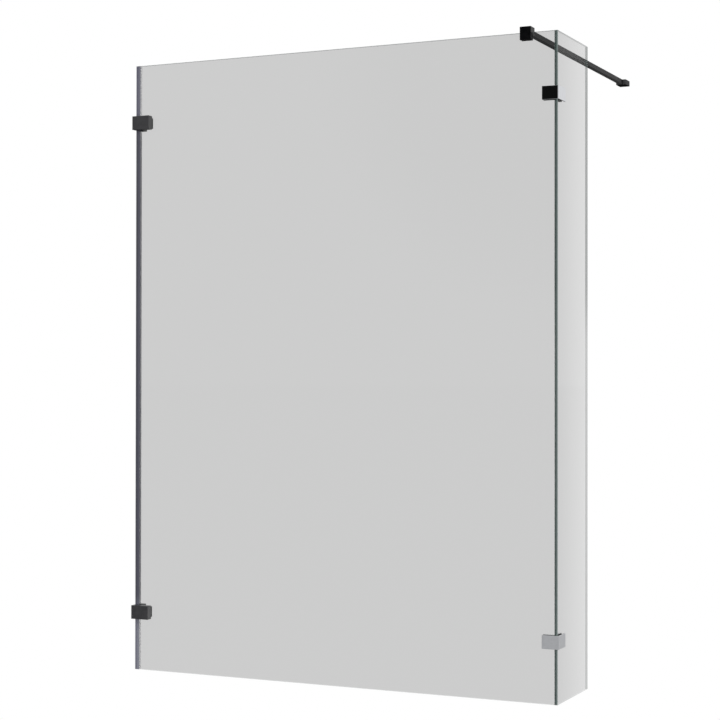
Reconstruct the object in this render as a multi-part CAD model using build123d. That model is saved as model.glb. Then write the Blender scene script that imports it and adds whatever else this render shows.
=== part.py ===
from build123d import *
import os

# Walk-in shower screen: a long front glass fixed to the side wall, a short return glass set
# square to it, and a square support bar from the top of the front glass to the back wall.
# +X runs along the front glass from the side wall to the free corner, +Y goes from outside
# into the shower, +Z is up. The origin is on the floor, at the middle of the bottom edge of
# the front glass, on the middle plane of its thickness. All sizes are in millimetres.

# Overall sizes
SCREEN_WIDTH = 1395.0  # side wall to the outside face of the return glass
GLASS_HEIGHT = 1900.0
RETURN_DEPTH = 277.0  # outside face of the front glass to the free edge of the return glass
BAR_REACH = 991.0  # outside face of the front glass to the back wall

# Glass
GLASS_THICKNESS = 8.0
GLASS_ARRIS = 0.8  # ground and polished edge
WALL_GAP = 10.0  # side wall to the edge of the front glass
CORNER_JOINT = 2.0  # end of the front glass to the return glass

# Side wall seal, a push-on channel with a hollow bulb against the wall
SEAL_WALL = 1.2
SEAL_GRIP = 6.0  # how far the channel reaches over the glass
SEAL_BULB_DEPTH = 9.4
SEAL_BULB_RADIUS = 3.0
SEAL_END_GAP = 0.4  # seal end to the bracket beside it

# Brackets, measured from each end of the glass to the middle of the bracket
WALL_BRACKET_INSET = 182.0
CORNER_BRACKET_INSET = 175.5
BEVEL = 0.8  # edges of the bracket castings
PLATE_BEVEL = 0.5  # edges of the plates

# Wall bracket
WALL_BRACKET_HEIGHT = 42.5
WALL_BRACKET_REACH = 60.0  # side wall to the free end of the front leg
WALL_BRACKET_FRONT = 21.5  # thickness of the front leg
WALL_BRACKET_LUG_WIDTH = 22.0  # how far the lug behind the glass stands off the side wall
WALL_BRACKET_LUG_DEPTH = 21.0
WALL_BRACKET_EDGE_GAP = 1.5  # bracket web to the edge of the glass
WALL_BRACKET_GASKET = 1.5
WALL_BRACKET_GASKET_MARGIN = 1.0  # front gasket inside the outline of the front leg
CLAMP_PLATE_WIDTH = 30.0
CLAMP_PLATE_MARGIN = 5.0  # clamp plate and rear gasket inside the height of the bracket
CLAMP_PLATE_THICKNESS = 5.0
CLAMP_PLATE_GAP = 2.0  # clamp plate to the lug
WALL_SCREW_RADIUS = 2.75
WALL_SCREW_HEAD_RADIUS = 5.0
WALL_SCREW_HEAD_DEPTH = 5.0
WALL_SCREW_SPACING = 22.0
WALL_SCREW_SETBACK = 8.0  # back of the lug to the wall screws

# Corner bracket
CORNER_BRACKET_HEIGHT = 38.5
CORNER_PLATE = 3.0
CORNER_PLATE_BEND = 2.5  # outside radius of the bend
CORNER_PLATE_FRONT_LEG = 50.0
CORNER_PLATE_SIDE_LEG = 62.0
CORNER_OUTER_GASKET = 0.5
CORNER_INNER_GASKET = 1.0
CORNER_ANGLE = 8.0  # thickness of the inner angle
CORNER_BOSS_RADIUS = 5.0
CORNER_BOSS_SETBACK = 24.0  # inside corner of the glass to each boss
CORNER_BOSS_GAP = 0.3  # end of the boss to the inside face of the glass

# Clamping screws and the holes that they pass through
SCREW_RADIUS = 3.0
SCREW_HEAD_RADIUS = 6.0
SCREW_SOCKET = 2.0  # across-corners radius of the hexagon socket
SCREW_SOCKET_DEPTH = 2.5
SCREW_BITE = 12.0  # thread length in the wall bracket
HOLE_CLEARANCE = 0.3
THREAD_CLEARANCE = 0.05
BUSH_RADIUS = 7.0
BUSH_CLEARANCE = 0.1

# Support bar, a square tube
BAR_SIZE = 15.0
BAR_WALL = 1.5
BAR_CORNER = 1.0
BAR_SETBACK = 95.5  # outside face of the return glass to the middle of the bar
BAR_RISE = 4.5  # top of the glass to the middle of the bar
BAR_FIT = 0.1  # gap on each side of the bar in its sockets
BAR_END_GAP = 0.5
PLUG_LENGTH = 32.0
PLUG_FIT = 0.05

# Glass clamp at the front end of the bar: a forked block with a sleeve for the bar behind it
BAR_CLAMP_WIDTH = 33.5
BAR_CLAMP_GRIP = 21.5  # how far the fork reaches below the top of the glass
BAR_CLAMP_FRONT_LEG = 4.7
BAR_CLAMP_BACK_LEG = 4.0
BAR_SLEEVE = 13.2  # how far the sleeve stands behind the fork
BAR_SLEEVE_WALL = 4.7  # above and below the bar
BAR_SOCKET_FLOOR = 1.5  # between the slot for the glass and the end of the bar socket
LINER = 0.8
LINER_MARGIN = 1.0
PRESSURE_PLATE = 1.5
PRESSURE_PLATE_MARGIN = 2.0
PRESSURE_PLATE_FIT = 0.2
PRESSURE_SCREW_RADIUS = 2.5
PRESSURE_SCREW_SPACING = 18.0
PRESSURE_SCREW_DROP = 14.0  # top of the glass to the pressure screws

# Grub screws that lock the bar and the foot from the side
GRUB_RADIUS = 2.0
GRUB_LENGTH = 5.0
GRUB_SOCKET = 1.1  # across-corners radius of the hexagon socket
GRUB_SOCKET_DEPTH = 2.0

# Wall foot at the back end of the bar, a socket slipped over a base on the back wall
FOOT_WIDTH = 33.5
FOOT_HEIGHT = 17.5
FOOT_DEPTH = 46.0
FOOT_SOCKET_DEPTH = 20.0
FOOT_BASE_DEPTH = 13.0
FOOT_BASE_FIT = 0.15
FOOT_BASE_BITE = 1.4  # how far the grub screw goes into the base
FOOT_SIDE_WALL = 3.5
FOOT_SCREW_RADIUS = 2.25
FOOT_SCREW_HEAD_RADIUS = 4.2
FOOT_SCREW_SPACING = 13.0

# Planes that the pieces are set out from
FRONT_GLASS_WIDTH = SCREEN_WIDTH - WALL_GAP - CORNER_JOINT - GLASS_THICKNESS
GLASS_EDGE_X = -FRONT_GLASS_WIDTH / 2
WALL_X = GLASS_EDGE_X - WALL_GAP
FRONT_GLASS_END_X = FRONT_GLASS_WIDTH / 2
RETURN_INNER_X = FRONT_GLASS_END_X + CORNER_JOINT
RETURN_OUTER_X = RETURN_INNER_X + GLASS_THICKNESS
OUTER_Y = -GLASS_THICKNESS / 2
INNER_Y = GLASS_THICKNESS / 2
BACK_WALL_Y = OUTER_Y + BAR_REACH
WALL_BRACKET_LEVELS = (WALL_BRACKET_INSET, GLASS_HEIGHT - WALL_BRACKET_INSET)
CORNER_BRACKET_LEVELS = (CORNER_BRACKET_INSET, GLASS_HEIGHT - CORNER_BRACKET_INSET)
LUG_X = WALL_X + WALL_BRACKET_LUG_WIDTH
CLAMP_SCREW_X = LUG_X + CLAMP_PLATE_GAP + CLAMP_PLATE_WIDTH / 2
BOSS_X = RETURN_INNER_X - CORNER_BOSS_SETBACK
BOSS_Y = INNER_Y + CORNER_BOSS_SETBACK
BAR_X = RETURN_OUTER_X - BAR_SETBACK
BAR_Z = GLASS_HEIGHT + BAR_RISE
BAR_BOTTOM_Z = BAR_Z - BAR_SIZE / 2
SLOT_TOP_Z = GLASS_HEIGHT + LINER
FOOT_FRONT_Y = BACK_WALL_Y - FOOT_DEPTH
BASE_FRONT_Y = BACK_WALL_Y - FOOT_BASE_DEPTH

INWARDS = (0, 1, 0)
OUTWARDS = (0, -1, 0)
TO_WALL = (-1, 0, 0)
FROM_WALL = (1, 0, 0)


def slab(x, y, z):
    """Block between a low and a high limit on each axis."""
    limits = (x, y, z)
    sizes = [high - low for low, high in limits]
    middle = [(high + low) / 2 for low, high in limits]
    return Pos(*middle) * Box(*sizes)


def around(middle, size):
    """Low and high limit of a length that is centred on a point."""
    return (middle - size / 2, middle + size / 2)


def facing(x, y, z, direction):
    """Place on a surface, with its local +Z along the outward direction."""
    return Plane(origin=(x, y, z), z_dir=direction)


def peg(radius, length):
    """Round peg or hole that goes down from the surface that it is placed on."""
    return Pos(0, 0, -length / 2) * Cylinder(radius, length)


def countersunk_peg(radius, head_radius, length):
    """Peg with a right-angled cone at its top, as a screw or as the hole for one."""
    cone_depth = head_radius - radius
    cone = Pos(0, 0, -cone_depth / 2) * Cone(radius, head_radius, cone_depth)
    return peg(radius, length) + cone


def hexagon_socket(radius, depth):
    """Hexagon key socket sunk into the surface that it is placed on."""
    return extrude(RegularPolygon(radius, 6), amount=-depth)


def bevelled(solid, size):
    """Solid with its outside corners taken off."""
    return chamfer(solid.edges().filter_by(lambda edge: not edge.is_interior), size)


def upright(points, z_range):
    """Solid of one plan outline between two heights."""
    outline = make_face(Polyline(*points, close=True))
    return extrude(Pos(0, 0, z_range[0]) * outline, amount=z_range[1] - z_range[0])


def wall_clamp_places():
    """Clamping screws of the two wall brackets, on the outside face of the glass."""
    return [(CLAMP_SCREW_X, z) for z in WALL_BRACKET_LEVELS]


def corner_clamp_places():
    """Clamping screws of the two corner brackets: through the front or the return glass."""
    places = []
    for z in CORNER_BRACKET_LEVELS:
        places.append(((BOSS_X, OUTER_Y, z), OUTWARDS))
        places.append(((RETURN_OUTER_X, BOSS_Y, z), FROM_WALL))
    return places


def glass_hole(place, direction):
    return facing(*place, direction) * peg(BUSH_RADIUS, GLASS_THICKNESS)


def front_glass():
    pane = slab((GLASS_EDGE_X, FRONT_GLASS_END_X), (OUTER_Y, INNER_Y), (0, GLASS_HEIGHT))
    pane = chamfer(pane.edges(), GLASS_ARRIS)
    for x, z in wall_clamp_places():
        pane -= glass_hole((x, OUTER_Y, z), OUTWARDS)
    for place, direction in corner_clamp_places():
        if direction == OUTWARDS:
            pane -= glass_hole(place, direction)
    return pane


def return_glass():
    depth = (OUTER_Y, OUTER_Y + RETURN_DEPTH)
    pane = slab((RETURN_INNER_X, RETURN_OUTER_X), depth, (0, GLASS_HEIGHT))
    pane = chamfer(pane.edges(), GLASS_ARRIS)
    for place, direction in corner_clamp_places():
        if direction == FROM_WALL:
            pane -= glass_hole(place, direction)
    return pane


def corner_seal():
    """Clear strip between the end of the front glass and the return glass."""
    width = (FRONT_GLASS_END_X, RETURN_INNER_X)
    inset = GLASS_ARRIS
    return slab(width, (OUTER_Y + inset, INNER_Y - inset), (0, GLASS_HEIGHT))


def wall_seal(z_range):
    """Channel pushed on the edge of the glass, with a hollow bulb that meets the wall."""
    channel_x = (GLASS_EDGE_X - SEAL_WALL, GLASS_EDGE_X + SEAL_GRIP)
    channel_depth = GLASS_THICKNESS + 2 * SEAL_WALL
    bulb_x = (WALL_X, GLASS_EDGE_X - SEAL_WALL / 2)
    bulb_width = bulb_x[1] - bulb_x[0]
    bulb_middle = sum(bulb_x) / 2
    hollow_radius = SEAL_BULB_RADIUS - SEAL_WALL
    channel = slab(channel_x, around(0, channel_depth), z_range)
    bulb_profile = RectangleRounded(bulb_width, SEAL_BULB_DEPTH, SEAL_BULB_RADIUS)
    hollow_profile = RectangleRounded(
        bulb_width - 2 * SEAL_WALL, SEAL_BULB_DEPTH - 2 * SEAL_WALL, hollow_radius
    )
    length = z_range[1] - z_range[0]
    start = Pos(bulb_middle, 0, z_range[0])
    seal = channel + extrude(start * bulb_profile, amount=length)
    seal -= extrude(start * hollow_profile, amount=length)
    return seal - slab((GLASS_EDGE_X, channel_x[1]), (OUTER_Y, INNER_Y), z_range)


def wall_seal_lengths():
    """The seal is cut where the two wall brackets stand."""
    half = WALL_BRACKET_HEIGHT / 2 + SEAL_END_GAP
    low, high = WALL_BRACKET_LEVELS
    return {
        "wall_seal_bottom": (0, low - half),
        "wall_seal_middle": (low + half, high - half),
        "wall_seal_top": (high + half, GLASS_HEIGHT),
    }


def wall_bracket_body(z):
    """Front leg over the glass, web at the wall and a lug with the wall screw holes."""
    seat_front = OUTER_Y - WALL_BRACKET_GASKET
    seat_back = INNER_Y + WALL_BRACKET_GASKET
    front = seat_front - WALL_BRACKET_FRONT
    back = seat_back + WALL_BRACKET_LUG_DEPTH
    reach = WALL_X + WALL_BRACKET_REACH
    web = GLASS_EDGE_X - WALL_BRACKET_EDGE_GAP
    outline = [
        (WALL_X, front),
        (reach, front),
        (reach, seat_front),
        (web, seat_front),
        (web, seat_back),
        (LUG_X, seat_back),
        (LUG_X, back),
        (WALL_X, back),
    ]
    body = bevelled(upright(outline, around(z, WALL_BRACKET_HEIGHT)), BEVEL)
    thread = peg(SCREW_RADIUS + THREAD_CLEARANCE, SCREW_BITE + HOLE_CLEARANCE)
    body -= facing(CLAMP_SCREW_X, seat_front, z, INWARDS) * thread
    screw_y = back - WALL_SCREW_SETBACK
    wall_hole = peg(WALL_SCREW_RADIUS, WALL_BRACKET_LUG_WIDTH)
    wall_hole += peg(WALL_SCREW_HEAD_RADIUS, WALL_SCREW_HEAD_DEPTH)
    for screw_z in around(z, WALL_SCREW_SPACING):
        body -= facing(LUG_X, screw_y, screw_z, FROM_WALL) * wall_hole
    return body


def wall_bracket_clamp_plate(z):
    """Loose plate behind the glass, beside the lug."""
    seat = INNER_Y + WALL_BRACKET_GASKET
    back = seat + CLAMP_PLATE_THICKNESS
    width = around(CLAMP_SCREW_X, CLAMP_PLATE_WIDTH)
    height = around(z, WALL_BRACKET_HEIGHT - 2 * CLAMP_PLATE_MARGIN)
    plate = bevelled(slab(width, (seat, back), height), PLATE_BEVEL)
    hole = countersunk_peg(
        SCREW_RADIUS + HOLE_CLEARANCE, SCREW_HEAD_RADIUS + HOLE_CLEARANCE, CLAMP_PLATE_THICKNESS
    )
    return plate - facing(CLAMP_SCREW_X, back, z, INWARDS) * hole


def wall_bracket_gasket(z, y_range, end_x, margin):
    height = around(z, WALL_BRACKET_HEIGHT - 2 * margin)
    sheet = slab((GLASS_EDGE_X, end_x), y_range, height)
    hole = peg(SCREW_RADIUS + HOLE_CLEARANCE, WALL_BRACKET_GASKET)
    return sheet - facing(CLAMP_SCREW_X, y_range[1], z, INWARDS) * hole


def wall_bracket_front_gasket(z):
    margin = WALL_BRACKET_GASKET_MARGIN
    end_x = WALL_X + WALL_BRACKET_REACH - margin
    return wall_bracket_gasket(z, (OUTER_Y - WALL_BRACKET_GASKET, OUTER_Y), end_x, margin)


def wall_bracket_rear_gasket(z):
    end_x = CLAMP_SCREW_X + CLAMP_PLATE_WIDTH / 2
    y_range = (INNER_Y, INNER_Y + WALL_BRACKET_GASKET)
    return wall_bracket_gasket(z, y_range, end_x, CLAMP_PLATE_MARGIN)


def bush(hole_radius):
    """Sleeve that keeps the metal off the wall of the hole in the glass."""
    ring = peg(BUSH_RADIUS - BUSH_CLEARANCE, GLASS_THICKNESS)
    return ring - peg(hole_radius, GLASS_THICKNESS)


def countersunk_screw(length):
    screw = countersunk_peg(SCREW_RADIUS, SCREW_HEAD_RADIUS, length)
    return screw - hexagon_socket(SCREW_SOCKET, SCREW_SOCKET_DEPTH)


def grub_screw(radius, length):
    return peg(radius, length) - hexagon_socket(GRUB_SOCKET, GRUB_SOCKET_DEPTH)


def wall_bracket_bushes():
    ring = bush(SCREW_RADIUS + HOLE_CLEARANCE)
    return [facing(x, OUTER_Y, z, OUTWARDS) * ring for x, z in wall_clamp_places()]


def wall_bracket_screws():
    stack = CLAMP_PLATE_THICKNESS + 2 * WALL_BRACKET_GASKET + GLASS_THICKNESS
    head_y = INNER_Y + WALL_BRACKET_GASKET + CLAMP_PLATE_THICKNESS
    screw = countersunk_screw(stack + SCREW_BITE)
    return [facing(x, head_y, z, INWARDS) * screw for x, z in wall_clamp_places()]


def corner_outline(corner_x, corner_y, end_x, end_y, thickness):
    """Right-angled strip; its sheltered side lies towards -X and +Y."""
    return [
        (end_x, corner_y),
        (corner_x, corner_y),
        (corner_x, end_y),
        (corner_x - thickness, end_y),
        (corner_x - thickness, corner_y + thickness),
        (end_x, corner_y + thickness),
    ]


def corner_leg_ends():
    """Ends of the two legs, which the outer plate and the inner angle share."""
    proud = CORNER_OUTER_GASKET + CORNER_PLATE
    end_x = RETURN_OUTER_X + proud - CORNER_PLATE_FRONT_LEG
    end_y = OUTER_Y - proud + CORNER_PLATE_SIDE_LEG
    return (end_x, end_y)


def corner_holes(z, offset, hole):
    """The two holes of one corner bracket, that far out from the outside glass faces."""
    front = facing(BOSS_X, OUTER_Y - offset, z, OUTWARDS) * hole
    side = facing(RETURN_OUTER_X + offset, BOSS_Y, z, FROM_WALL) * hole
    return front + side


def corner_bracket_outer_plate(z):
    """Polished angle outside the glass, with a threaded boss through each glass."""
    proud = CORNER_OUTER_GASKET + CORNER_PLATE
    corner = (RETURN_OUTER_X + proud, OUTER_Y - proud)
    outline = corner_outline(*corner, *corner_leg_ends(), CORNER_PLATE)
    plate = upright(outline, around(z, CORNER_BRACKET_HEIGHT))
    bend = plate.edges().filter_by(Axis.Z).sort_by_distance((*corner, z))[0]
    plate = bevelled(fillet(bend, CORNER_PLATE_BEND), PLATE_BEVEL)
    boss_length = CORNER_OUTER_GASKET + GLASS_THICKNESS - CORNER_BOSS_GAP
    boss = peg(CORNER_BOSS_RADIUS, boss_length)
    boss -= peg(SCREW_RADIUS + THREAD_CLEARANCE, boss_length)
    return plate + corner_holes(z, CORNER_OUTER_GASKET, boss)


def corner_bracket_outer_gasket(z):
    corner = (RETURN_OUTER_X + CORNER_OUTER_GASKET, OUTER_Y - CORNER_OUTER_GASKET)
    outline = corner_outline(*corner, *corner_leg_ends(), CORNER_OUTER_GASKET)
    gasket = upright(outline, around(z, CORNER_BRACKET_HEIGHT))
    hole = peg(CORNER_BOSS_RADIUS + BUSH_CLEARANCE, CORNER_OUTER_GASKET)
    return gasket - corner_holes(z, CORNER_OUTER_GASKET, hole)


def corner_bracket_inner_gasket(z):
    outline = corner_outline(RETURN_INNER_X, INNER_Y, *corner_leg_ends(), CORNER_INNER_GASKET)
    gasket = upright(outline, around(z, CORNER_BRACKET_HEIGHT))
    length = GLASS_THICKNESS + CORNER_INNER_GASKET
    return gasket - corner_holes(z, 0, peg(SCREW_RADIUS + HOLE_CLEARANCE, length))


def corner_bracket_inner_angle(z):
    """Thick angle inside the glass, with a countersunk hole in each leg."""
    corner = (RETURN_INNER_X - CORNER_INNER_GASKET, INNER_Y + CORNER_INNER_GASKET)
    outline = corner_outline(*corner, *corner_leg_ends(), CORNER_ANGLE)
    angle = bevelled(upright(outline, around(z, CORNER_BRACKET_HEIGHT)), PLATE_BEVEL)
    hole = countersunk_peg(
        SCREW_RADIUS + HOLE_CLEARANCE, SCREW_HEAD_RADIUS + HOLE_CLEARANCE, CORNER_ANGLE
    )
    angle -= facing(BOSS_X, corner[1] + CORNER_ANGLE, z, INWARDS) * hole
    return angle - facing(corner[0] - CORNER_ANGLE, BOSS_Y, z, TO_WALL) * hole


def corner_bracket_bushes():
    ring = bush(CORNER_BOSS_RADIUS + BUSH_CLEARANCE)
    return [facing(*place, direction) * ring for place, direction in corner_clamp_places()]


def corner_bracket_screws():
    """Screws from inside the shower, through the inner angle into the bosses."""
    stack = GLASS_THICKNESS + CORNER_INNER_GASKET + CORNER_ANGLE
    screw = countersunk_screw(stack)
    head_y = OUTER_Y + stack
    head_x = RETURN_OUTER_X - stack
    screws = []
    for z in CORNER_BRACKET_LEVELS:
        screws.append(facing(BOSS_X, head_y, z, INWARDS) * screw)
        screws.append(facing(head_x, BOSS_Y, z, TO_WALL) * screw)
    return screws


def bar_clamp_bottom():
    return GLASS_HEIGHT - BAR_CLAMP_GRIP


def slot_depth():
    """Slot for the glass, its liner and the pressure plate."""
    low = OUTER_Y - LINER
    high = INNER_Y + LINER + PRESSURE_PLATE + PRESSURE_PLATE_FIT
    return (low, high)


def fork_depth():
    """Front and back face of the part of the clamp that stands over the glass."""
    slot = slot_depth()
    return (slot[0] - BAR_CLAMP_FRONT_LEG, slot[1] + BAR_CLAMP_BACK_LEG)


def bar_socket_depth():
    """Bottom and mouth of the socket for the bar."""
    return (slot_depth()[1] + BAR_SOCKET_FLOOR, fork_depth()[1] + BAR_SLEEVE)


def bar_socket(y_range):
    """Square hole for an end of the bar, which rests on its bottom face."""
    width = around(BAR_X, BAR_SIZE + 2 * BAR_FIT)
    return slab(width, y_range, (BAR_BOTTOM_Z, BAR_BOTTOM_Z + BAR_SIZE + BAR_FIT))


def side_thread(side_x, y, length):
    """Threaded hole that goes in from a side face towards +X, level with the bar."""
    return facing(side_x, y, BAR_Z, TO_WALL) * peg(GRUB_RADIUS + THREAD_CLEARANCE, length)


def bar_clamp_body():
    """Forked block over the top of the glass, and the sleeve that the bar plugs into."""
    front, back = fork_depth()
    width = around(BAR_X, BAR_CLAMP_WIDTH)
    sleeve_bottom, top = around(BAR_Z, BAR_SIZE + 2 * BAR_FIT + 2 * BAR_SLEEVE_WALL)
    body = slab(width, (front, back), (bar_clamp_bottom(), top))
    body += slab(width, (back, bar_socket_depth()[1]), (sleeve_bottom, top))
    body = bevelled(body, BEVEL)
    body -= slab(width, slot_depth(), (bar_clamp_bottom(), SLOT_TOP_Z))
    body -= bar_socket(bar_socket_depth())
    thread = peg(PRESSURE_SCREW_RADIUS + THREAD_CLEARANCE, BAR_CLAMP_BACK_LEG)
    for x in around(BAR_X, PRESSURE_SCREW_SPACING):
        body -= facing(x, back, GLASS_HEIGHT - PRESSURE_SCREW_DROP, INWARDS) * thread
    side_wall = (BAR_CLAMP_WIDTH - BAR_SIZE) / 2 - BAR_FIT
    return body - side_thread(width[0], clamp_grub_depth(), side_wall)


def bar_clamp_liner():
    """Thin channel that keeps the metal off the glass."""
    width = around(BAR_X, BAR_CLAMP_WIDTH - 2 * LINER_MARGIN)
    height = (bar_clamp_bottom() + LINER_MARGIN, SLOT_TOP_Z)
    liner = slab(width, (OUTER_Y - LINER, INNER_Y + LINER), height)
    return liner - slab(width, (OUTER_Y, INNER_Y), (height[0], GLASS_HEIGHT))


def bar_clamp_pressure_plate():
    low = INNER_Y + LINER
    width = around(BAR_X, BAR_CLAMP_WIDTH - 2 * PRESSURE_PLATE_MARGIN)
    height = (bar_clamp_bottom() + PRESSURE_PLATE_MARGIN, GLASS_HEIGHT - PRESSURE_PLATE_MARGIN)
    return bevelled(slab(width, (low, low + PRESSURE_PLATE), height), PLATE_BEVEL)


def bar_clamp_screws():
    """Two set screws from the back of the fork on to the pressure plate."""
    back = fork_depth()[1]
    tip = INNER_Y + LINER + PRESSURE_PLATE
    screw = grub_screw(PRESSURE_SCREW_RADIUS, back - tip)
    z = GLASS_HEIGHT - PRESSURE_SCREW_DROP
    return [facing(x, back, z, INWARDS) * screw for x in around(BAR_X, PRESSURE_SCREW_SPACING)]


def bar_ends():
    """Front and back end of the bar, each just short of the bottom of its socket."""
    front = bar_socket_depth()[0] + BAR_END_GAP
    back = FOOT_FRONT_Y + FOOT_SOCKET_DEPTH - BAR_END_GAP
    return (front, back)


def bar_section(size, corner, y_range):
    """Square section with rounded corners between two depths along the bar."""
    outline = RectangleRounded(size, size, corner)
    end = facing(BAR_X, y_range[0], BAR_Z, INWARDS)
    return extrude(end * outline, amount=y_range[1] - y_range[0], dir=INWARDS)


def support_bar():
    tube = bar_section(BAR_SIZE, BAR_CORNER, bar_ends())
    return tube - bar_section(BAR_SIZE - 2 * BAR_WALL, BAR_CORNER / 2, bar_ends())


def bar_plug(y_range):
    """Solid plug in the end of the tube, behind the wall that the grub screw bears on."""
    return bar_section(BAR_SIZE - 2 * BAR_WALL - 2 * PLUG_FIT, BAR_CORNER / 2, y_range)


def bar_plug_glass_end():
    front = bar_ends()[0]
    return bar_plug((front, front + PLUG_LENGTH))


def bar_plug_wall_end():
    back = bar_ends()[1]
    return bar_plug((back - PLUG_LENGTH, back))


def foot_base_section():
    """Width and height of the base, which the back of the socket slips over."""
    width = FOOT_WIDTH - 2 * FOOT_SIDE_WALL - 2 * FOOT_BASE_FIT
    height = BAR_SIZE - 2 * FOOT_BASE_FIT
    return (width, height)


def wall_foot_base():
    """Block screwed to the back wall through two countersunk holes."""
    width, height = foot_base_section()
    side, other_side = around(BAR_X, width)
    base = slab((side, other_side), (BASE_FRONT_Y, BACK_WALL_Y), around(BAR_Z, height))
    base = bevelled(base, PLATE_BEVEL)
    hole = countersunk_peg(FOOT_SCREW_RADIUS, FOOT_SCREW_HEAD_RADIUS, FOOT_BASE_DEPTH)
    for x in around(BAR_X, FOOT_SCREW_SPACING):
        base -= facing(x, BASE_FRONT_Y, BAR_Z, OUTWARDS) * hole
    return base - side_thread(side, foot_grub_depths()[1], FOOT_BASE_BITE)


def clamp_grub_depth():
    return sum(bar_socket_depth()) / 2


def foot_grub_depths():
    """The two grub screws of the foot: one on the bar, one into the base."""
    return (FOOT_FRONT_Y + FOOT_SOCKET_DEPTH / 2, BACK_WALL_Y - FOOT_BASE_DEPTH / 2)


def wall_foot_socket():
    """Outer block: the bar plugs into its front, its back hides the base."""
    width = around(BAR_X, FOOT_WIDTH)
    height = around(BAR_Z, FOOT_HEIGHT)
    block = bevelled(slab(width, (FOOT_FRONT_Y, BACK_WALL_Y), height), BEVEL)
    block -= bar_socket((FOOT_FRONT_Y, FOOT_FRONT_Y + FOOT_SOCKET_DEPTH))
    base_width, base_height = [
        around(middle, size + 2 * FOOT_BASE_FIT)
        for middle, size in zip((BAR_X, BAR_Z), foot_base_section())
    ]
    block -= slab(base_width, (BASE_FRONT_Y - FOOT_BASE_FIT, BACK_WALL_Y), base_height)
    bar_grub_y, base_grub_y = foot_grub_depths()
    block -= side_thread(width[0], bar_grub_y, (FOOT_WIDTH - BAR_SIZE) / 2 - BAR_FIT)
    return block - side_thread(width[0], base_grub_y, base_width[0] - width[0])


def grub_screws():
    """Two that bear on the side of the bar, and one that goes into the base of the foot."""
    bar_grub_y, base_grub_y = foot_grub_depths()
    bar_side = BAR_X - BAR_SIZE / 2
    base_tip = BAR_X - foot_base_section()[0] / 2 + FOOT_BASE_BITE
    screw = grub_screw(GRUB_RADIUS, GRUB_LENGTH)
    tips = [(bar_side, clamp_grub_depth()), (bar_side, bar_grub_y), (base_tip, base_grub_y)]
    return [facing(x - GRUB_LENGTH, y, BAR_Z, TO_WALL) * screw for x, y in tips]


def build_nodes():
    nodes = {
        "front_glass": front_glass(),
        "return_glass": return_glass(),
        "corner_seal": corner_seal(),
    }
    for name, z_range in wall_seal_lengths().items():
        nodes[name] = wall_seal(z_range)
    for level, wall_z, corner_z in zip(("lower", "upper"), WALL_BRACKET_LEVELS, CORNER_BRACKET_LEVELS):
        nodes[f"{level}_wall_bracket_body"] = wall_bracket_body(wall_z)
        nodes[f"{level}_wall_bracket_clamp_plate"] = wall_bracket_clamp_plate(wall_z)
        nodes[f"{level}_wall_bracket_front_gasket"] = wall_bracket_front_gasket(wall_z)
        nodes[f"{level}_wall_bracket_rear_gasket"] = wall_bracket_rear_gasket(wall_z)
        nodes[f"{level}_corner_bracket_outer_plate"] = corner_bracket_outer_plate(corner_z)
        nodes[f"{level}_corner_bracket_outer_gasket"] = corner_bracket_outer_gasket(corner_z)
        nodes[f"{level}_corner_bracket_inner_gasket"] = corner_bracket_inner_gasket(corner_z)
        nodes[f"{level}_corner_bracket_inner_angle"] = corner_bracket_inner_angle(corner_z)
    nodes["wall_bracket_bushes"] = Compound(children=wall_bracket_bushes())
    nodes["wall_bracket_screws"] = Compound(children=wall_bracket_screws())
    nodes["corner_bracket_bushes"] = Compound(children=corner_bracket_bushes())
    nodes["corner_bracket_screws"] = Compound(children=corner_bracket_screws())
    nodes["bar_clamp_body"] = bar_clamp_body()
    nodes["bar_clamp_liner"] = bar_clamp_liner()
    nodes["bar_clamp_pressure_plate"] = bar_clamp_pressure_plate()
    nodes["bar_clamp_screws"] = Compound(children=bar_clamp_screws())
    nodes["support_bar"] = support_bar()
    nodes["bar_plug_glass_end"] = bar_plug_glass_end()
    nodes["bar_plug_wall_end"] = bar_plug_wall_end()
    nodes["wall_foot_base"] = wall_foot_base()
    nodes["wall_foot_socket"] = wall_foot_socket()
    nodes["grub_screws"] = Compound(children=grub_screws())
    return nodes


os.makedirs("parts", exist_ok=True)
for node_name, node_shape in build_nodes().items():
    export_step(node_shape, f"parts/{node_name}.step")
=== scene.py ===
import math

import bpy
from mathutils import Matrix, Vector

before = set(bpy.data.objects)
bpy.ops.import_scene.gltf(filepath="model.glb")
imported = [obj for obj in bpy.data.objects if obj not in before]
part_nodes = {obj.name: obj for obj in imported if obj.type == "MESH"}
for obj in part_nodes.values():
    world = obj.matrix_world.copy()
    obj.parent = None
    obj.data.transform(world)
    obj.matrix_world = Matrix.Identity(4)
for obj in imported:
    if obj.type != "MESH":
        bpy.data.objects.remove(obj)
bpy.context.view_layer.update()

# The camera: it stands outside the shower, to the right of the screen and just under half
# its height, and looks along the front glass towards the side wall.
EYE_PLACE = (2.2404, -4.6248, 0.9312)
EYE_TURN = 25.0207
EYE_TILT = 0.4501
EYE_ROLL = 0.0703
EYE_LENS = 86.072
EYE_SENSOR = 36
EYE_SIGHT = 400

eye_lens = bpy.data.cameras.new("eye")
eye_lens.lens = EYE_LENS
eye_lens.sensor_width = EYE_SENSOR
eye_lens.clip_end = EYE_SIGHT
eye = bpy.data.objects.new("eye", eye_lens)
bpy.context.scene.collection.objects.link(eye)
turn = Matrix.Rotation(math.radians(EYE_TURN), 4, "Z")
tilt = Matrix.Rotation(math.radians(90 + EYE_TILT), 4, "X")
roll = Matrix.Rotation(math.radians(EYE_ROLL), 4, "Z")
eye.matrix_world = Matrix.Translation(EYE_PLACE) @ turn @ tilt @ roll
bpy.context.scene.camera = eye
bpy.context.scene.view_settings.view_transform = "Standard"


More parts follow.
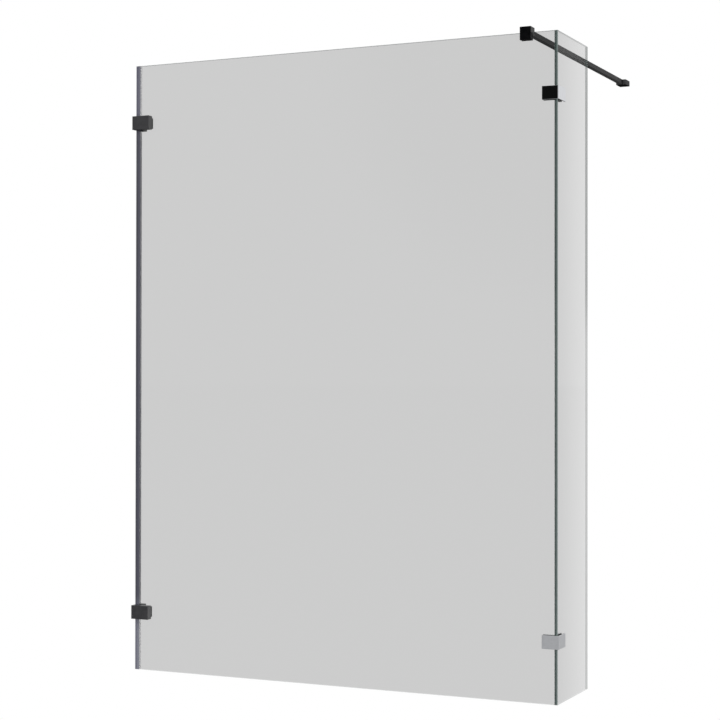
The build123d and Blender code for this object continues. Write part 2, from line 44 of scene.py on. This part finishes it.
# The studio light: a soft white room all round, plain white to the eye. Polished metal
# mirrors a dim patch of it in front of the screen, and two lamps behind the screen. A patch
# is a direction, how near to it the soft border starts and ends, and a level.
ROOM_LEVEL = 0.8
DIM_PATCH = (-0.3125, -0.9339, 0.1736)
DIM_BORDER = (0.9895, 0.9975)
DIM_DEPTH = 0.990
WIDE_LAMP = (0.309, 0.935, 0.174)
WIDE_BORDER = (0.970, 0.996)
WIDE_LEVEL = 0.15
SMALL_LAMP = (0.523, 0.841, 0.139)
SMALL_BORDER = (0.990, 0.998)
SMALL_LEVEL = 1.6
PLAIN_WHITE = (1, 1, 1, 1)


class Strand:
    """One output of a node tree. Sums written with it add Math nodes to the tree."""

    def __init__(self, tree, socket=None):
        self.tree = tree
        self.socket = socket

    def node(self, kind, settings=None, sockets=None, out=0):
        """Adds a node: first its settings, then the values or links of its sockets."""
        made = self.tree.nodes.new(kind)
        for name, value in (settings or {}).items():
            setattr(made, name, value)
        for name, value in (sockets or {}).items():
            if isinstance(value, Strand):
                self.tree.links.new(value.socket, made.inputs[name])
            else:
                made.inputs[name].default_value = value
        if isinstance(out, tuple):
            return [Strand(self.tree, made.outputs[name]) for name in out]
        return Strand(self.tree, made.outputs[out]) if made.outputs else None

    def sum(self, operation, first, second=0.0):
        return self.node("ShaderNodeMath", {"operation": operation}, {0: first, 1: second})

    def __add__(self, other):
        return self.sum("ADD", self, other)

    __radd__ = __add__

    def __sub__(self, other):
        return self.sum("SUBTRACT", self, other)

    def __rsub__(self, other):
        return self.sum("SUBTRACT", other, self)

    def __mul__(self, other):
        return self.sum("MULTIPLY", self, other)

    __rmul__ = __mul__

    def __neg__(self):
        return -1 * self

    def __abs__(self):
        return self.sum("ABSOLUTE", self)

    def rise(self, low, high):
        """0 below low and 1 above high, with a smooth climb between them."""
        limits = {"Value": self, "From Min": low, "From Max": high}
        return self.node("ShaderNodeMapRange", {"interpolation_type": "SMOOTHSTEP"}, limits)

    def between(self, low, high):
        """Runs evenly from low to high as this value goes from 0 to 1."""
        return low + self * (high - low)

    def blend(self, first, second):
        """Mixes two colours by this value."""
        settings = {"data_type": "RGBA"}
        return self.node("ShaderNodeMix", settings, {0: self, 6: first, 7: second}, out=2)


world = bpy.data.worlds.new("studio")
world.use_nodes = True
world.node_tree.nodes.clear()
bpy.context.scene.world = world
studio = Strand(world.node_tree)
sight = studio.node("ShaderNodeTexCoord", out="Generated")


def patch(direction, border):
    """1 in a round patch of the room that lies in a direction, and 0 past its border."""
    ends = {0: sight, 1: tuple(Vector(direction).normalized())}
    aim = studio.node("ShaderNodeVectorMath", {"operation": "DOT_PRODUCT"}, ends, out="Value")
    return aim.rise(*border)


room = ROOM_LEVEL * (1 - DIM_DEPTH * patch(DIM_PATCH, DIM_BORDER))
room = room + WIDE_LEVEL * patch(WIDE_LAMP, WIDE_BORDER)
room = room + SMALL_LEVEL * patch(SMALL_LAMP, SMALL_BORDER)
seen = studio.node("ShaderNodeLightPath", out="Is Camera Ray")
light_looks = {"Color": PLAIN_WHITE, "Strength": room * (1 - seen) + seen}
light = studio.node("ShaderNodeBackground", sockets=light_looks)
studio.node("ShaderNodeOutputWorld", sockets={"Surface": light})


# The floor: one plain white sheet, as white as the room to the eye. In mirror images it is
# dim far behind on the left, a little brighter beside the screen, and bright in a spot
# behind the front glass. A border is in metres, from where it starts to where it ends.
FLOOR_REACH = 120
FLOOR_DROP = 0.001
FLOOR_MIRRORED = 0.56
FLOOR_BOUNCE = 0.3
FAR_BORDER = (3.0, 6.0)
LEFT_BORDER = (-2.0, -0.5)
FAR_LEFT_DEPTH = 0.93
BEHIND_BORDER = (0.6, 0.9)
BESIDE_BORDER = (0.85, 1.0)
BESIDE_GAIN = 0.08
SPOT_FRONT = (0.3, 0.9)
SPOT_BACK = (1.4, 2.8)
SPOT_LEFT = (-0.8, -0.1)
SPOT_RIGHT = (0.2, 0.8)
SPOT_LEVEL = 2.4

floor_mesh = bpy.data.meshes.new("floor")
floor_signs = [(-1, -1), (1, -1), (1, 1), (-1, 1)]
floor_corners = [(x * FLOOR_REACH, y * FLOOR_REACH, 0) for x, y in floor_signs]
floor_mesh.from_pydata(floor_corners, [], [(0, 1, 2, 3)])
floor = bpy.data.objects.new("floor", floor_mesh)
bpy.context.scene.collection.objects.link(floor)
floor.location.z = -FLOOR_DROP


def new_finish(name):
    """An empty material, and a strand to hang its nodes on."""
    finish = bpy.data.materials.new(name)
    finish.use_nodes = True
    finish.node_tree.nodes.clear()
    return finish, Strand(finish.node_tree)


def place_on(strand):
    """Where a point lies, in metres: in the part's own axes, or in the floor's."""
    place = strand.node("ShaderNodeTexCoord", out="Object")
    return strand.node("ShaderNodeSeparateXYZ", sockets={0: place}, out=(0, 1, 2))


def white_floor():
    finish, strand = new_finish("white floor")
    x, y = place_on(strand)[:2]
    far_left = y.rise(*FAR_BORDER) * (1 - x.rise(*LEFT_BORDER))
    beside = y.rise(*BEHIND_BORDER) * x.rise(*BESIDE_BORDER)
    spot = y.rise(*SPOT_FRONT) * (1 - y.rise(*SPOT_BACK))
    spot = spot * x.rise(*SPOT_LEFT) * (1 - x.rise(*SPOT_RIGHT))
    in_mirrors = FLOOR_MIRRORED * (1 - FAR_LEFT_DEPTH * far_left) * (1 + BESIDE_GAIN * beside)
    in_mirrors = in_mirrors + SPOT_LEVEL * spot
    paths = ("Is Camera Ray", "Is Glossy Ray")
    direct, mirrored = strand.node("ShaderNodeLightPath", out=paths)
    level = direct + mirrored * in_mirrors + (1 - direct) * (1 - mirrored) * FLOOR_BOUNCE
    glow_looks = {"Color": PLAIN_WHITE, "Strength": level}
    glow = strand.node("ShaderNodeEmission", sockets=glow_looks)
    strand.node("ShaderNodeOutputMaterial", sockets={"Surface": glow})
    return finish


floor_mesh.materials.append(white_floor())


# The front glass: one tall pane of toughened clear glass, 8 mm thick. Its four edges are
# ground flat and polished, which shows the green of the glass along them. It stands on the
# floor and is drilled for the wall brackets and for the corner brackets.
GLASS_TINT = (0.05, 0.052, 0.052, 1)
GLASS_IOR = 1.5
FRONT_HOLDS = 0.232
FRONT_GLOSS = 0.5
TOP_EDGE_HOLDS = 0.3
PALE_GREEN = (0.20, 0.25, 0.24, 1)
GLASS_ROUGHNESS = (0.01, 0.03)
EDGE_ROUGHNESS = 0.1
BROAD_FACE = (0.80, 0.95)
UPPER_PART = (1.0, 1.2)
FILM_GRAIN = 1.7
FILM_SPREAD = (0.35, 0.75)
FILM_HOLDS = 0.002


def facing(strand, axis):
    """How far a surface faces along an axis: from -1 to 1."""
    face = strand.node("ShaderNodeNewGeometry", out="Normal")
    return strand.node("ShaderNodeSeparateXYZ", sockets={0: face}, out=axis)


def noise(strand, per_metre, detail=3.0):
    """A soft random pattern. Three numbers per metre draw it out along one of the axes."""
    place = strand.node("ShaderNodeTexCoord", out="Object")
    if isinstance(per_metre, tuple):
        stretch = {"Vector": place, "Scale": per_metre}
        place = strand.node("ShaderNodeMapping", sockets=stretch)
        per_metre = 1.0
    pattern = {"Vector": place, "Scale": per_metre, "Detail": detail}
    return strand.node("ShaderNodeTexNoise", sockets=pattern)


def cover(strand, looks):
    """Closes a finish with its surface shader."""
    skin = strand.node("ShaderNodeBsdfPrincipled", sockets=looks)
    strand.node("ShaderNodeOutputMaterial", sockets={"Surface": skin})


def dress(finish, *names):
    """Gives a finish to nodes of the part."""
    for name in names:
        slots = part_nodes[name].data.materials
        slots.clear()
        slots.append(finish)


def ground_edge(strand, across):
    """1 on the edges of a pane and 0 on its broad faces; across is the axis through it."""
    return 1 - abs(facing(strand, across)).rise(*BROAD_FACE)


def clear_glass(strand, edge, edge_colour, holds, gloss):
    """Glass under a faint film. holds is the share of the light that each face keeps."""
    film = noise(strand, FILM_GRAIN).rise(*FILM_SPREAD)
    looks = {
        "Base Color": edge.blend(GLASS_TINT, edge_colour),
        "Roughness": film.between(*GLASS_ROUGHNESS) + edge * EDGE_ROUGHNESS,
        "IOR": GLASS_IOR,
        "Specular IOR Level": gloss,
        "Alpha": holds,
    }
    cover(strand, looks)


def front_pane():
    finish, strand = new_finish("front pane glass")
    z = place_on(strand)[2]
    edge = ground_edge(strand, 1)
    holds = FRONT_HOLDS + noise(strand, FILM_GRAIN) * FILM_HOLDS
    holds = holds + edge * z.rise(*UPPER_PART) * TOP_EDGE_HOLDS
    clear_glass(strand, edge, PALE_GREEN, holds, FRONT_GLOSS)
    return finish


dress(front_pane(), "front_glass")


# The return glass: a short pane of the same glass, square to the front one at its free end.
# Its front edge is the outside corner, with a line of deep green along it. The pane mirrors
# less than the front one. It is painted clearer towards its open edge and darker towards the
# corner, a painted shade that stands in for what the real pane mirrors.
RETURN_DEPTH = 0.273
RETURN_HOLDS = 0.243
RETURN_TOP_HOLDS = 0.006
RETURN_TOP_PART = (0.5, 1.3)
RETURN_SHADE_FALL = 0.080
RETURN_GLOSS = 0.16
RETURN_TOP_EDGE_HOLDS = 0.2
FREE_EDGE_HOLDS = 0.22
DEEP_GREEN = (0.020, 0.050, 0.044, 1)
SOFT_GREEN = (0.38, 0.45, 0.435, 1)
END_FACE = (0.5, 0.9)
FRONT_END = (0.05, 0.1)
FREE_END = (0.15, 0.2)
OUTER_SIDE = (0.6905, 0.6985)
GROUND_GRAIN = 160.0
GROUND_WAVE = 0.0015


def return_pane():
    finish, strand = new_finish("return pane glass")
    x, y, z = place_on(strand)
    edge = ground_edge(strand, 0)
    upright_end = edge * abs(facing(strand, 1)).rise(*END_FACE)
    front_end = upright_end * (1 - y.rise(*FRONT_END))
    free_end = upright_end * y.rise(*FREE_END)
    ground = noise(strand, GROUND_GRAIN, detail=2.0) * GROUND_WAVE
    front_green = (x + ground).rise(*OUTER_SIDE).blend(DEEP_GREEN, SOFT_GREEN)
    top_edge = edge * z.rise(*UPPER_PART) * (1 - front_end)
    holds = RETURN_HOLDS + RETURN_TOP_HOLDS * z.rise(*RETURN_TOP_PART)
    # Painted shade: the pane is made less clear towards the corner in place of what it
    # mirrors.
    holds = holds - y * (RETURN_SHADE_FALL / RETURN_DEPTH)
    holds = holds + top_edge * RETURN_TOP_EDGE_HOLDS
    holds = holds + front_end * (1 - RETURN_HOLDS) + free_end * FREE_EDGE_HOLDS
    edge_green = front_end.blend(PALE_GREEN, front_green)
    clear_glass(strand, edge, edge_green, holds, RETURN_GLOSS)
    return finish


dress(return_pane(), "return_glass")


# The corner seal: a clear soft strip that fills the joint between the two panes from top
# to bottom, extruded from clear PVC and bonded to both.
SEAL_DARK = (0.05, 0.085, 0.08, 1)
SEAL_LIGHT = (0.08, 0.12, 0.11, 1)
SEAL_LINES = (900, 900, 12)
SEAL_ROUGHNESS = (0.15, 0.30)
SEAL_HOLDS = (0.6, 0.7)
SPREAD = (0.3, 0.7)


def shades(pattern, dark, light):
    """Runs between two shades of a colour with a random pattern."""
    return pattern.rise(*SPREAD).blend(dark, light)


def clear_seal():
    finish, strand = new_finish("clear seal")
    lines = noise(strand, SEAL_LINES, detail=2.0)
    looks = {
        "Base Color": shades(lines, SEAL_DARK, SEAL_LIGHT),
        "Roughness": lines.between(*SEAL_ROUGHNESS),
        "Alpha": lines.between(*SEAL_HOLDS),
    }
    cover(strand, looks)
    return finish


dress(clear_seal(), "corner_seal")


# The wall seal: a soft grey PVC strip pushed on the edge of the front glass, with a hollow
# bulb against the side wall and a thin rear lip that lets light through. It is extruded and
# cut at the wall brackets. Its shades are painted light and shade: the long length is painted
# darker and the two short lengths paler, and the rear lip is painted much paler than the
# rest.
# Painted light and shade: one PVC in three shades by length, darker in the long middle length
# and paler in the short top and bottom ones. The front lips are a little paler than the bulb.
MIDDLE_DARK = (0.070, 0.073, 0.098, 1)
MIDDLE_LIGHT = (0.105, 0.108, 0.145, 1)
MIDDLE_LIP = (0.12, 0.12, 0.165, 1)
TOP_DARK = (0.16, 0.16, 0.225, 1)
TOP_LIGHT = (0.22, 0.22, 0.295, 1)
TOP_LIP = (0.25, 0.25, 0.32, 1)
BOTTOM_DARK = (0.24, 0.245, 0.32, 1)
BOTTOM_LIGHT = (0.31, 0.315, 0.39, 1)
BOTTOM_LIP = (0.36, 0.37, 0.44, 1)
# The rear lip's colour is painted light, much paler than the PVC, standing in for light that
# comes through it; its alpha also lets real light through.
REAR_LIP = (0.6, 0.6, 0.67, 1)
REAR_LIP_CLEAR = (0.4, 0.75)
WALL_SEAL_LINES = (700, 700, 6)
WALL_SEAL_CLOUD = 9.0
LINES_SHARE = 0.6
WALL_SEAL_ROUGHNESS = (0.28, 0.48)
WALL_SEAL_BUMPS = (0.15, 0.0004)
MID_HEIGHT = 0.95
SHORT_LENGTHS = (0.70, 0.80)
UPPER_HALF = (0.9, 1.0)
FRONT_LIP_PLACE = (-0.6895, -0.6880)
REAR_LIP_PLACE = (0.002, 0.004)


def bumps(strand, height, strength, depth):
    """Turns a pattern into bumps of a depth in metres."""
    looks = {"Strength": strength, "Distance": depth, "Height": height}
    return strand.node("ShaderNodeBump", sockets=looks)


def grey_seal():
    finish, strand = new_finish("grey seal")
    x, y, z = place_on(strand)
    lines = noise(strand, WALL_SEAL_LINES)
    cloud = noise(strand, WALL_SEAL_CLOUD, detail=2.0)
    pattern = lines * LINES_SHARE + cloud * (1 - LINES_SHARE)
    short_length = abs(z - MID_HEIGHT).rise(*SHORT_LENGTHS)
    upper = z.rise(*UPPER_HALF)
    # Painted light on the rear lip's colour; its alpha gives real translucency as well.
    rear = y.rise(*REAR_LIP_PLACE)
    middle = shades(pattern, MIDDLE_DARK, MIDDLE_LIGHT)
    top = shades(pattern, TOP_DARK, TOP_LIGHT)
    bottom = shades(pattern, BOTTOM_DARK, BOTTOM_LIGHT)
    # Painted shade and light: darker in the long length, paler in the short ones, palest at
    # the bottom.
    bulb = short_length.blend(middle, upper.blend(bottom, top))
    lip = short_length.blend(MIDDLE_LIP, upper.blend(BOTTOM_LIP, TOP_LIP))
    front = x.rise(*FRONT_LIP_PLACE).blend(bulb, lip)
    looks = {
        "Base Color": rear.blend(front, REAR_LIP),
        "Roughness": cloud.between(*WALL_SEAL_ROUGHNESS),
        "Alpha": 1 - rear * short_length.between(*REAR_LIP_CLEAR),
        "Normal": bumps(strand, lines, *WALL_SEAL_BUMPS),
    }
    cover(strand, looks)
    return finish


dress(grey_seal(), "wall_seal_bottom", "wall_seal_middle", "wall_seal_top")


# The wall brackets: two zinc castings screwed to the side wall, with a fine satin coat of
# anthracite powder. A front leg covers the glass, and a lug behind it holds the wall screws.
# A loose plate behind the glass is clamped against it.
BRACKET_DARK = (0.028, 0.028, 0.032, 1)
BRACKET_LIGHT = (0.042, 0.042, 0.047, 1)
BRACKET_ROUGHNESS = (0.26, 0.36)
BRACKET_GLOSS = 0.5
PEEL_GRAIN = 2600.0
PEEL_BUMPS = (0.12, 0.0001)
CLOUD_GRAIN = 60.0
UNDER_FACE = (0.5, 0.9)


def coated_metal(name, dark, light, roughness, gloss, underside_shade=1.0):
    """Powder coat: fine orange peel, a little uneven. A last argument below 1 paints shade on
    faces that point down.
    """
    finish, strand = new_finish(name)
    peel = noise(strand, PEEL_GRAIN)
    cloud = noise(strand, CLOUD_GRAIN, detail=4.0)
    colour = shades(cloud, dark, light)
    # Painted shade: faces that point down are darkened towards a share of the dark colour.
    if underside_shade < 1:
        faces_down = (-facing(strand, 2)).rise(*UNDER_FACE)
        shaded = tuple(part * underside_shade for part in dark[:3]) + (1,)
        colour = faces_down.blend(colour, shaded)
    looks = {
        "Base Color": colour,
        "Roughness": cloud.between(*roughness),
        "Specular IOR Level": gloss,
        "Normal": bumps(strand, peel, *PEEL_BUMPS),
    }
    cover(strand, looks)
    return finish


bracket_coat = coated_metal(
    "bracket coat", BRACKET_DARK, BRACKET_LIGHT, BRACKET_ROUGHNESS, BRACKET_GLOSS
)
dress(
    bracket_coat,
    "upper_wall_bracket_body",
    "lower_wall_bracket_body",
    "upper_wall_bracket_clamp_plate",
    "lower_wall_bracket_clamp_plate",
)


# The gaskets: soft black rubber sheet, cut to the brackets. They keep the metal off the
# glass on both sides.
GASKET_DARK = (0.010, 0.010, 0.011, 1)
GASKET_LIGHT = (0.022, 0.022, 0.024, 1)
RUBBER_GRAIN = 1900.0
RUBBER_ROUGHNESS = (0.6, 0.8)


def rubber(name, dark, light):
    finish, strand = new_finish(name)
    grain = noise(strand, RUBBER_GRAIN)
    looks = {
        "Base Color": shades(grain, dark, light),
        "Roughness": grain.between(*RUBBER_ROUGHNESS),
    }
    cover(strand, looks)
    return finish


dress(
    rubber("gasket rubber", GASKET_DARK, GASKET_LIGHT),
    "upper_wall_bracket_front_gasket",
    "upper_wall_bracket_rear_gasket",
    "lower_wall_bracket_front_gasket",
    "lower_wall_bracket_rear_gasket",
    "upper_corner_bracket_outer_gasket",
    "upper_corner_bracket_inner_gasket",
    "lower_corner_bracket_outer_gasket",
    "lower_corner_bracket_inner_gasket",
)


# The bushes: nylon sleeves that line the holes in the glass. The plugs in the ends of the
# bar are moulded from the same nylon.
NYLON_DARK = (0.50, 0.50, 0.48, 1)
NYLON_LIGHT = (0.62, 0.62, 0.60, 1)
NYLON_GRAIN = 700.0
NYLON_ROUGHNESS = (0.40, 0.55)


def natural_nylon():
    finish, strand = new_finish("natural nylon")
    grain = noise(strand, NYLON_GRAIN)
    looks = {
        "Base Color": shades(grain, NYLON_DARK, NYLON_LIGHT),
        "Roughness": grain.between(*NYLON_ROUGHNESS),
    }
    cover(strand, looks)
    return finish


dress(
    natural_nylon(),
    "wall_bracket_bushes",
    "corner_bracket_bushes",
    "bar_plug_glass_end",
    "bar_plug_wall_end",
)


# The screws: stainless steel, turned, with hexagon sockets. The clamping screws go in from
# inside the shower, the set screws from behind the bar clamp, and the grub screws from the
# side of the bar.
STEEL_DARK = (0.48, 0.48, 0.49, 1)
STEEL_LIGHT = (0.60, 0.60, 0.61, 1)
STEEL_RINGS = 2200.0
STEEL_ROUGHNESS = (0.24, 0.38)


def turned_steel():
    finish, strand = new_finish("turned steel")
    rings = noise(strand, STEEL_RINGS, detail=2.0)
    looks = {
        "Base Color": shades(rings, STEEL_DARK, STEEL_LIGHT),
        "Metallic": 1.0,
        "Roughness": rings.between(*STEEL_ROUGHNESS),
    }
    cover(strand, looks)
    return finish


dress(
    turned_steel(),
    "wall_bracket_screws",
    "corner_bracket_screws",
    "bar_clamp_screws",
    "grub_screws",
)


# The corner brackets: an outer angle of bent brass plate and a thick inner angle, polished
# and chromium plated. Screws from inside pull the two together over the corner of the glass.
CHROME_DARK = (0.60, 0.61, 0.635, 1)
CHROME_LIGHT = (0.64, 0.65, 0.675, 1)
CHROME_HAZE = 90.0
CHROME_ROUGHNESS = (0.020, 0.045)


def polished_chrome():
    finish, strand = new_finish("polished chrome")
    haze = noise(strand, CHROME_HAZE, detail=4.0)
    looks = {
        "Base Color": shades(haze, CHROME_DARK, CHROME_LIGHT),
        "Metallic": 1.0,
        "Roughness": haze.between(*CHROME_ROUGHNESS),
    }
    cover(strand, looks)
    return finish


dress(
    polished_chrome(),
    "upper_corner_bracket_outer_plate",
    "upper_corner_bracket_inner_angle",
    "lower_corner_bracket_outer_plate",
    "lower_corner_bracket_inner_angle",
)


# The bar clamp: a block milled from solid aluminium that sits over the top edge of the
# front glass. Its coat is blacker and smoother than that of the wall brackets. A folded
# liner of dark grey rubber keeps it off the glass.
CLAMP_DARK = (0.0045, 0.0045, 0.0053, 1)
CLAMP_LIGHT = (0.007, 0.007, 0.008, 1)
CLAMP_ROUGHNESS = (0.12, 0.22)
CLAMP_GLOSS = 0.07
LINER_DARK = (0.06, 0.06, 0.064, 1)
LINER_LIGHT = (0.09, 0.09, 0.095, 1)

clamp_coat = coated_metal("clamp coat", CLAMP_DARK, CLAMP_LIGHT, CLAMP_ROUGHNESS, CLAMP_GLOSS)
dress(clamp_coat, "bar_clamp_body", "bar_clamp_pressure_plate")
dress(rubber("liner rubber", LINER_DARK, LINER_LIGHT), "bar_clamp_liner")


# The support bar: a drawn square aluminium tube between the clamp and the back wall. Faint
# lines run along it under the black coat.
BAR_DARK = (0.020, 0.020, 0.021, 1)
BAR_LIGHT = (0.030, 0.030, 0.031, 1)
BAR_ROUGHNESS = (0.34, 0.46)
BAR_GLOSS = 0.04
BAR_LINES = (1400, 9, 1400)
BAR_BUMPS = (0.1, 0.0001)


def drawn_bar():
    finish, strand = new_finish("bar coat")
    lines = noise(strand, BAR_LINES)
    looks = {
        "Base Color": shades(lines, BAR_DARK, BAR_LIGHT),
        "Roughness": lines.between(*BAR_ROUGHNESS),
        "Specular IOR Level": BAR_GLOSS,
        "Normal": bumps(strand, lines, *BAR_BUMPS),
    }
    cover(strand, looks)
    return finish


dress(drawn_bar(), "support_bar")


# The wall foot: a milled socket that slips over a base on the back wall. It hides the
# screws of the base and holds the end of the bar. Its coat is flat and a little greyer, with
# painted shade on its underside.
FOOT_DARK = (0.098, 0.098, 0.100, 1)
FOOT_LIGHT = (0.118, 0.118, 0.121, 1)
FOOT_ROUGHNESS = (0.34, 0.44)
FOOT_GLOSS = 0.0
# The share of the dark colour kept on the underside: a painted shade.
FOOT_UNDERSIDE_SHADE = 0.15

foot_coat = coated_metal(
    "foot coat", FOOT_DARK, FOOT_LIGHT, FOOT_ROUGHNESS, FOOT_GLOSS, FOOT_UNDERSIDE_SHADE
)
dress(foot_coat, "wall_foot_base", "wall_foot_socket")
